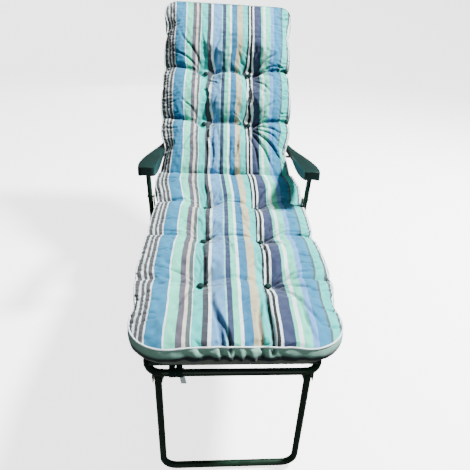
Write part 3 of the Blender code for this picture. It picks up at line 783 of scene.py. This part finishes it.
class BackShape:
    """The back part of the cushion, from the crease to the head."""

    FIRST = 0.030
    LAST = 0.902
    CLOSE_GATHERS = 0.0021
    ROW_CREASE = 0.0055
    ROLLS = staticmethod(ripples(8, 7, 0.10, 0.25))

    def half_width(self, s):
        beside_arms = np.exp(-((s - 0.17) / 0.09) ** 2)
        at_head = smoothstep(s, self.LAST - 0.16, self.LAST - 0.04)
        return 0.281 - 0.015 * beside_arms + 0.008 * at_head

    def pinch(self, s):
        return sum(0.008 * bell(s - row, 0.022) for row in BACK_ROWS)

    def drift(self, s):
        return -0.010 + 0.006 * smoothstep(s, 0.20, 0.85)

    def ease(self, s):
        """The head end keeps its cut shape."""
        return 1 - 0.97 * smoothstep(s, self.LAST - 0.17, self.LAST - 0.05)

    def valleys(self, x, s):
        """Broad shaded slopes above each row and to the right of each column of buttons."""
        inside = smoothstep(np.abs(x) / BUTTON_X, 1.7, 0.9)
        total = np.zeros_like(x)
        low, high = BACK_ROWS
        for row, reach, depth in ((low, 0.052, 0.018), (high, 0.070, 0.025)):
            off = s - self.row_line(x, row)
            slope = np.where(off > 0, np.exp(-np.abs(off) / reach), np.exp(-np.abs(off) / 0.009))
            total -= (0.006 + depth * inside) * slope
        between = smoothstep(s, low, low + 0.04) * smoothstep(s, high, high - 0.04)
        below = 0.5 * smoothstep(s, low, low - 0.03) * smoothstep(s, low - 0.20, low - 0.08)
        for side in (-1, 1):
            off = x - side * BUTTON_X
            slope = np.where(off > 0, np.exp(-np.abs(off) / 0.040), np.exp(-np.abs(off) / 0.012))
            total -= 0.012 * (between + below) * slope
        return total

    def swell(self, x, s):
        at_head = smoothstep(s, self.LAST - 0.03, self.LAST)
        return 0.005 + 0.014 * at_head * (1 - (x / 0.27) ** 2)

    def row_line(self, x, row):
        """The crease through a row of buttons arches between them and rises to the sides."""
        reach = np.abs(x) / BUTTON_X
        return row + np.where(reach < 1, 0.010 * (1 - reach ** 2), 0.012 * (reach - 1))

    def top(self, x, s, side):
        inner = smoothstep(side, 0.0, 0.08)
        surface = 0.074 + 0.019 * inner + 0.0028 * self.ROLLS(x, s) * inner
        for row in BACK_ROWS:
            surface = surface - 0.020 * bell(s - self.row_line(x, row), 0.034)
        return tuft(x, s, surface, BACK_ROWS)

    def base(self, x, s, side):
        return 0.0145 + 0.012 * smoothstep(side, 0.05, 0.0)


# ---- Folds, added once the pads are blown up ------------------------------------------

# Long creases: x and s of both ends, width, depth
SEAT_FOLDS = [
    (-0.093, -0.460, -0.090, -0.690, 0.0055, 0.0060),
    (0.092, -0.455, 0.100, -0.680, 0.0050, 0.0055),
    (-0.096, -0.220, -0.094, -0.440, 0.0060, 0.0035),
    (0.100, -0.215, 0.092, -0.440, 0.0060, 0.0040),
    (-0.096, -0.195, -0.094, -0.080, 0.0045, 0.0045),
    (0.094, -0.195, 0.150, -0.120, 0.0050, 0.0040),
    (-0.062, -0.780, -0.030, -1.040, 0.0080, 0.0080),
    (-0.046, -0.850, -0.004, -1.060, 0.0065, 0.0080),
    (0.084, -0.760, 0.074, -1.060, 0.0075, 0.0085),
    (0.060, -0.820, 0.048, -1.040, 0.0060, 0.0050),
    (0.130, -0.720, 0.205, -0.900, 0.0070, 0.0040),
    (0.160, -0.800, 0.180, -0.955, 0.0060, 0.0035),
    (-0.105, -0.700, -0.160, -0.860, 0.0070, 0.0035),
    (-0.110, -0.680, -0.250, -0.640, 0.0060, 0.0040),
    (-0.115, -0.690, -0.240, -0.730, 0.0060, 0.0030),
    (0.112, -0.690, 0.240, -0.655, 0.0060, 0.0035),
    (0.112, -0.700, 0.230, -0.760, 0.0065, 0.0035),
    (-0.085, -0.448, 0.080, -0.452, 0.0055, 0.0035),
    (-0.110, -0.445, -0.255, -0.425, 0.0055, 0.0040),
    (0.110, -0.445, 0.255, -0.430, 0.0055, 0.0035),
    (-0.110, -0.206, -0.255, -0.190, 0.0055, 0.0040),
    (-0.085, -0.206, 0.085, -0.200, 0.0055, 0.0025),
    (-0.110, -0.460, -0.190, -0.540, 0.0060, 0.0025),
    (0.110, -0.460, 0.180, -0.560, 0.0060, 0.0025),
    (-0.030, -0.470, 0.010, -0.600, 0.0070, 0.0022),
    (0.020, -0.240, 0.050, -0.380, 0.0070, 0.0022),
]
BACK_FOLDS = [
    (-0.096, 0.335, -0.094, 0.550, 0.0055, 0.0035),
    (0.096, 0.335, 0.099, 0.550, 0.0055, 0.0035),
    (0.108, 0.305, 0.240, 0.150, 0.0062, 0.0068),
    (0.112, 0.312, 0.258, 0.215, 0.0058, 0.0066),
    (0.112, 0.318, 0.255, 0.270, 0.0055, 0.0055),
    (0.104, 0.298, 0.200, 0.100, 0.0062, 0.0064),
    (0.098, 0.295, 0.140, 0.090, 0.0060, 0.0058),
    (0.150, 0.250, 0.262, 0.120, 0.0055, 0.0052),
    (-0.078, 0.296, -0.086, 0.070, 0.0070, 0.0050),
    (-0.056, 0.280, -0.060, 0.060, 0.0065, 0.0040),
    (-0.034, 0.270, -0.024, 0.060, 0.0070, 0.0035),
    (0.010, 0.250, 0.016, 0.060, 0.0070, 0.0030),
    (0.048, 0.280, 0.052, 0.080, 0.0070, 0.0016),
    (-0.104, 0.575, -0.210, 0.720, 0.0070, 0.0045),
    (-0.112, 0.570, -0.255, 0.650, 0.0065, 0.0050),
    (-0.098, 0.580, -0.120, 0.760, 0.0065, 0.0035),
    (0.098, 0.580, 0.104, 0.760, 0.0070, 0.0035),
    (0.110, 0.572, 0.220, 0.650, 0.0065, 0.0045),
    (0.112, 0.566, 0.262, 0.600, 0.0060, 0.0040),
    (-0.080, 0.575, -0.040, 0.700, 0.0070, 0.0030),
    (0.080, 0.575, 0.040, 0.680, 0.0070, 0.0016),
    (-0.110, 0.300, -0.200, 0.170, 0.0065, 0.0030),
    (-0.086, 0.300, -0.050, 0.140, 0.0065, 0.0035),
    (0.070, 0.300, 0.030, 0.130, 0.0065, 0.0030),
    (-0.110, 0.330, -0.200, 0.420, 0.0065, 0.0035),
    (-0.110, 0.545, -0.190, 0.460, 0.0065, 0.0035),
    (0.110, 0.545, 0.200, 0.450, 0.0065, 0.0035),
    (0.110, 0.335, 0.210, 0.420, 0.0065, 0.0030),
    (-0.070, 0.350, -0.045, 0.440, 0.0065, 0.0028),
]


def small_folds(rows, half, first, last, seed):
    """Many short creases: out from the buttons, in from both seams, and across the panel."""
    rng = np.random.default_rng(seed)
    folds = []
    for x, row in button_places(rows):
        for _ in range(9):
            angle = rng.uniform(0, 2 * math.pi)
            near = rng.uniform(0.018, 0.045)
            far = near + rng.uniform(0.030, 0.085)
            folds.append((x + near * math.cos(angle), row + near * math.sin(angle),
                          x + far * math.cos(angle + 0.1), row + far * math.sin(angle + 0.1),
                          rng.uniform(0.0035, 0.0055), rng.uniform(0.0015, 0.0030)))
    for _ in range(70):
        side = rng.choice((-1, 1))
        s = rng.uniform(first + 0.04, last - 0.04)
        reach = rng.uniform(0.020, 0.070)
        folds.append((side * (half + 0.004), s,
                      side * (half - reach), s + rng.uniform(-0.02, 0.02),
                      rng.uniform(0.0035, 0.0055), rng.uniform(0.0018, 0.0034)))
    for _ in range(45):
        x = rng.uniform(-0.22, 0.22)
        s = rng.uniform(first + 0.05, last - 0.05)
        angle = rng.normal(0.0, 0.6) + rng.choice((0.0, math.pi / 2))
        long = rng.uniform(0.025, 0.075)
        folds.append((x, s, x + long * math.cos(angle), s + long * math.sin(angle),
                      rng.uniform(0.0035, 0.0060), rng.uniform(0.0008, 0.0018)))
    return folds


def fold_depth(x, s, folds):
    """Each fold is a valley between two low ridges that fades out at its ends."""
    total = np.zeros_like(x)
    for x1, s1, x2, s2, width, depth in folds:
        run = np.array([x2 - x1, s2 - s1])
        length = np.hypot(*run)
        along = ((x - x1) * run[0] + (s - s1) * run[1]) / length ** 2
        off = ((x - x1) * run[1] - (s - s1) * run[0]) / length
        off = off + 0.0035 * np.sin(7.0 * along + 40.0 * x1)
        fade = np.sqrt(np.clip(np.sin(math.pi * np.clip(along * 0.94 + 0.06, 0, 1)), 0, None))
        ratio = (off / width) ** 2
        total -= depth * fade * (1 - 0.9 * ratio) * np.exp(-ratio)
    return total


def pleats(x, s, rows, seed):
    """Small folds that run out from every button."""
    rng = np.random.default_rng(seed)
    total = np.zeros_like(x)
    for button_x, row in button_places(rows):
        dx, ds = x - button_x, s - row
        r = np.hypot(dx, ds)
        angle = np.arctan2(ds, dx)
        count = int(rng.integers(8, 12))
        phase = rng.uniform(0, 6)
        wave = np.abs(np.sin(count * angle / 2 + phase + 0.5 * np.sin(2 * angle + phase)))
        reach = np.clip((r - 0.012) / 0.014, 0, 1) * np.exp(-r / 0.038)
        total += 0.0052 * reach * (wave ** 0.7 - 0.6)
    return total


def gathers(x, s, half, seed, close_depth):
    """Short puckers across the seam at both sides, with finer ones along the left."""
    rng = np.random.default_rng(seed)
    phase = rng.uniform(0, 6, 3)
    edge = np.exp(-np.clip(half - np.abs(x), 0, None) / 0.020)
    where = np.sin(2 * math.pi * s / 0.021 + 2.2 * np.sin(2 * math.pi * s / 0.13 + phase[0]))
    amount = 0.6 + 0.4 * np.sin(2 * math.pi * s / 0.37 + phase[1] + np.sign(x))
    close = np.sin(2 * math.pi * s / 0.0165 + 1.6 * np.sin(2 * math.pi * s / 0.09 + phase[2]))
    left = np.exp(-np.clip(half + x, 0, None) / 0.030)
    return 0.0016 * edge * where * amount + close_depth * left * close


def add_folds(obj, pad, shape, folds, seed):
    """Move the top panel's points along their normals by the folds."""
    mesh = obj.data
    points = vectors(mesh.vertices, "co")
    normals = vectors(mesh.vertex_normals, "vector")
    s = (points - pad.plane.origin) @ pad.plane.along
    x = points[:, 0] - shape.drift(s)
    facing = smoothstep(normals @ pad.plane.up, 0.25, 0.7)
    crumple = ripples(seed, 26, 0.016, 0.050)
    half = shape.half_width(s)
    small = small_folds(pad.rows, float(half.min()), shape.FIRST, shape.LAST, seed)
    move = 1.35 * fold_depth(x, s, folds) + 1.3 * fold_depth(x, s, small)
    move = move + pleats(x, s, pad.rows, seed)
    move = move + gathers(x, s, half, seed, shape.CLOSE_GATHERS) * shape.ease(s)
    move = move + 0.0009 * crumple(x, s)
    broad = shape.valleys(x, s)
    for row in pad.rows:
        off = s - shape.row_line(x, row)
        move = move - shape.ROW_CREASE * np.exp(-(off / 0.0055) ** 2)
    nearest = np.full(len(points), 1.0)
    for button_x, row in button_places(pad.rows):
        nearest = np.minimum(nearest, np.hypot(x - button_x, s - row))
    clear = facing * smoothstep(nearest, BUTTON_HOLD, 0.020)
    move *= clear
    points += normals * (move + broad * clear)[:, None]
    mesh.vertices.foreach_set("co", points.ravel())
    mesh.update()
    # The folds' depth is kept as "crease" for the cotton's painted shade and soil in its creases.
    soil_and_painted_shade = mesh.attributes.new("crease", "FLOAT", "POINT")
    soil_and_painted_shade.data.foreach_set("value", np.clip(-move / 0.007, 0.0, 1.0))


def make_button(node, plane, place, turn):
    """A domed button covered in cloth that is gathered under its rim."""
    radius = 0.0105
    rings = [(0.0, 0.0066), (0.25, 0.0064), (0.5, 0.0058), (0.72, 0.0047), (0.88, 0.0032),
             (0.97, 0.0014), (1.0, -0.0004), (0.93, -0.0022), (0.60, -0.0030)]
    sides = 36
    angles = 2 * math.pi * np.arange(sides) / sides + turn
    points = [place + plane.up * (BUTTON_TOP + rings[0][1])]
    for share, height in rings[1:]:
        pleat = 1 + 0.035 * share ** 3 * np.cos(12 * angles)
        for angle, wide in zip(angles, pleat):
            across = radius * share * wide
            points.append(place + np.array([math.cos(angle) * across, 0, 0])
                          + plane.along * math.sin(angle) * across
                          + plane.up * (BUTTON_TOP + height))
    faces = [(0, 1 + k, 1 + (k + 1) % sides) for k in range(sides)]
    for ring in range(len(rings) - 2):
        base = 1 + ring * sides
        for k in range(sides):
            after = (k + 1) % sides
            faces.append((base + k, base + sides + k, base + sides + after, base + after))
    last = 1 + (len(rings) - 2) * sides
    faces.append(tuple(last + k for k in range(sides))[::-1])
    obj = mesh_object(node + "_cover", np.array(points), faces)
    obj.data.materials.append(MATERIALS["button_cloth"])
    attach(obj, BODY_OF[node])
    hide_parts(node)


def make_cushion(name, plane, shape, corners, rows, folds, sim, joint, cad_nodes, buttons):
    """Shape, blow up, fold and pipe one pad, and put on its buttons."""
    pad = Pad(plane, corners, rows, shape)
    obj = mesh_object(name, pad.points, pad.faces.tolist(), pad.fabric_coordinates())
    points = pad.points
    along = (points - plane.origin) @ plane.along
    points = simulate(obj, pad.pins(), shape.ease(along), *sim)
    even_seam(points, pad.loop, 4)
    obj.data.vertices.foreach_set("co", points.ravel())
    obj.data.update()
    piping = swept_loop(name + "_piping", points[pad.loop], PIPING_R)
    subdivide(obj)
    add_folds(obj, pad, shape, folds, seed=len(folds))
    for piece, material in ((obj, "striped_cotton"), (piping, "piping_cotton")):
        piece.data.materials.clear()
        piece.data.materials.append(MATERIALS[material])
        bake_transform(piece)
    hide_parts(*cad_nodes)
    for row, stem in zip(rows, buttons):
        for side, word in SIDES:
            place = plane.to_world(side * BUTTON_X + shape.drift(row), row, 0.0)
            make_button(f"{stem}_{word}", plane, place, side * row)


# ---- Slings and sleeves ---------------------------------------------------------------

def cloth_sheet(name, points, across, along, looks, body, thickness, **sheet):
    """A thin cloth over a grid of points, whose cut coordinates are across and along."""
    material, slot = looks
    grid = np.arange(points.shape[0] * points.shape[1]).reshape(points.shape[:2])
    faces = grid_faces(grid)
    cut = np.stack([np.broadcast_to(across, grid.shape), np.broadcast_to(along, grid.shape)], -1)
    obj = mesh_object(name, points.reshape(-1, 3), faces.tolist(), cut.reshape(-1, 2)[faces])
    obj.data.materials.append(MATERIALS[material])
    solid = obj.modifiers.new("thickness", "SOLIDIFY")
    solid.thickness = thickness
    solid.offset = 0.0
    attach(obj, body)
    return obj


SLING_LOOKS = ("sling_cloth", "sling_cloth")
SLING_GAP = 0.0030          # the sling above the top of its tubes
STUD_CLEAR = 0.025          # a sleeve's start above the recline stud
SLEEVE_END = 0.800


def make_sling(node, plane, body, rails, clear=0.0):
    """A stretched cloth panel just above its tubes, a little lower along its side hems.

    clear shortens it at its first end, where the seat pad comes close when the back is upright.
    """
    low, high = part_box(node)
    corners = [plane.s_of(low), plane.s_of(high)]
    first, last = min(corners) + clear, max(corners)
    half = high[0]
    across, along = np.meshgrid(np.linspace(-half, half, 53), np.linspace(first, last, 37))
    share = np.sin(math.pi * (along - first) / (last - first))
    dip = 0.0016 * (1 - (across / half) ** 2) * share
    hem = 0.0006 * smoothstep(half - np.abs(across), 0.020, 0.016)
    points = plane.to_world(across, along, TUBE_R + SLING_GAP - dip - hem)
    obj = cloth_sheet(node + "_cloth", points, across, along, SLING_LOOKS, body, 0.0012,
                      flat=(2 * half, last - first), held="stretched", rests_on=rails)
    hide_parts(node)


def make_sleeve(name, side, first, last):
    """The sling's side hem, taken once round a back tube and sewn to itself."""
    tube_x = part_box("back_frame")[1][0] - TUBE_R
    near = TUBE_R + 0.0012
    path = [(tube_x - 0.030, near), (tube_x - 0.020, near + 0.0002),
            (tube_x - 0.009, near + 0.0002)]
    path += [(tube_x + near * math.cos(a), near * math.sin(a))
             for a in np.radians(np.linspace(90, -140, 24))]
    path += [(tube_x - 0.015, -0.0005), (tube_x - 0.022, 0.0055),
             (tube_x - 0.030, near - 0.0022)]
    path = np.array(path)
    run = run_along(path)
    rows = np.linspace(first, last, 80)
    run_grid, row_grid = np.meshgrid(run, rows)
    slack = 0.0005 * np.sin(row_grid * 61) * np.sin(row_grid * 23)
    x_grid = np.interp(run_grid, run, path[:, 0]) + slack
    n_grid = np.interp(run_grid, run, path[:, 1])
    points = BACK.to_world(side * x_grid, row_grid, n_grid)
    cloth_sheet(name, points, run_grid, row_grid, SLING_LOOKS, "back", 0.0009,
                flat=(float(run[-1]), last - first), held="stretched", rests_on=["back_frame"])


# ---- Tape tie -------------------------------------------------------------------------

def make_tape(name, path, width, looks, thickness=0.0007):
    """A flat tape whose middle line follows a path, with its width across the lounger."""
    path = np.asarray(path, float)
    columns = np.linspace(-0.5, 0.5, 5) * width
    points = path[:, None, :] + np.array([1.0, 0.0, 0.0]) * columns[None, :, None]
    run = run_along(path)
    cloth_sheet(name, points, columns[None, :], run[:, None], looks, "legrest", thickness,
                flat=(width, float(run[-1])), held="hung", rests_on=["legrest_frame"])


def make_tie():
    """The tape that holds the cushion to the end bar, wound once round it, with its end tab."""
    low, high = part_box("legrest_frame")
    bar_y, bar_z = low[1] + TUBE_R, (low[2] + high[2]) / 2
    for name, x, start in (("cushion_tie_front", -0.148, 70), ("cushion_tie_rear", -0.131, 95)):
        path = [(x, bar_y + 0.052, bar_z + 0.021), (x, bar_y + 0.030, bar_z + 0.0165)]
        for k in range(31):
            turn = math.radians(start + 330 * k / 30)
            reach = TUBE_R + 0.0012 + 0.0010 * k / 30
            path.append((x + 0.004 * k / 30, bar_y + reach * math.cos(turn),
                         bar_z + reach * math.sin(turn)))
        make_tape(name, path, 0.015, ("button_cloth", "button_cloth"))
    path = [(-0.124 + 0.0006 * k, bar_y - 0.0045 - 0.0009 * k, bar_z - 0.0085 - 0.0019 * k)
            for k in range(9)]
    make_tape("cushion_tie_tab", path, 0.013, ("piping_cotton", "striped_cotton"), 0.0009)


# ---- Assembly -------------------------------------------------------------------------

make_camera()
make_studio()
finish_nodes()
make_cushion("cushion_seat", SEAT, SeatShape(), (0.105, 0.020), SEAT_ROWS, SEAT_FOLDS,
             (2.0, 0.011),
             ("legrest", "seat", (0, KNEE.y - 0.09, KNEE.z), (0, KNEE.y + 0.03, KNEE.z)),
             ("seat_cushion", "legrest_cushion"),
             ["legrest_button", "seat_button_2", "seat_button_1"])
make_cushion("cushion_back", BACK, BackShape(), (0.020, 0.055), BACK_ROWS, BACK_FOLDS,
             (4.0, 0.022),
             ("seat", "back", BACK.to_world(0.0, 0.0, 0.0).tolist(),
              BACK.to_world(0.0, 0.20, 0.0).tolist()), ("back_cushion",),
             ["back_button_1", "back_button_2"])
make_sling("seat_sling", SEAT, "seat", ["seat_rail_left", "seat_rail_right"])
make_sling("legrest_sling", SEAT, "legrest", ["legrest_frame"])
make_sling("back_sling", BACK, "back", ["back_frame"], clear=0.030)
for side, word in SIDES:
    sleeve_start = BACK.s_of(centre(f"recline_stud_{word}")) + STUD_CLEAR
    make_sleeve(f"back_sling_sleeve_{word}", side, sleeve_start, SLEEVE_END)
make_tie()
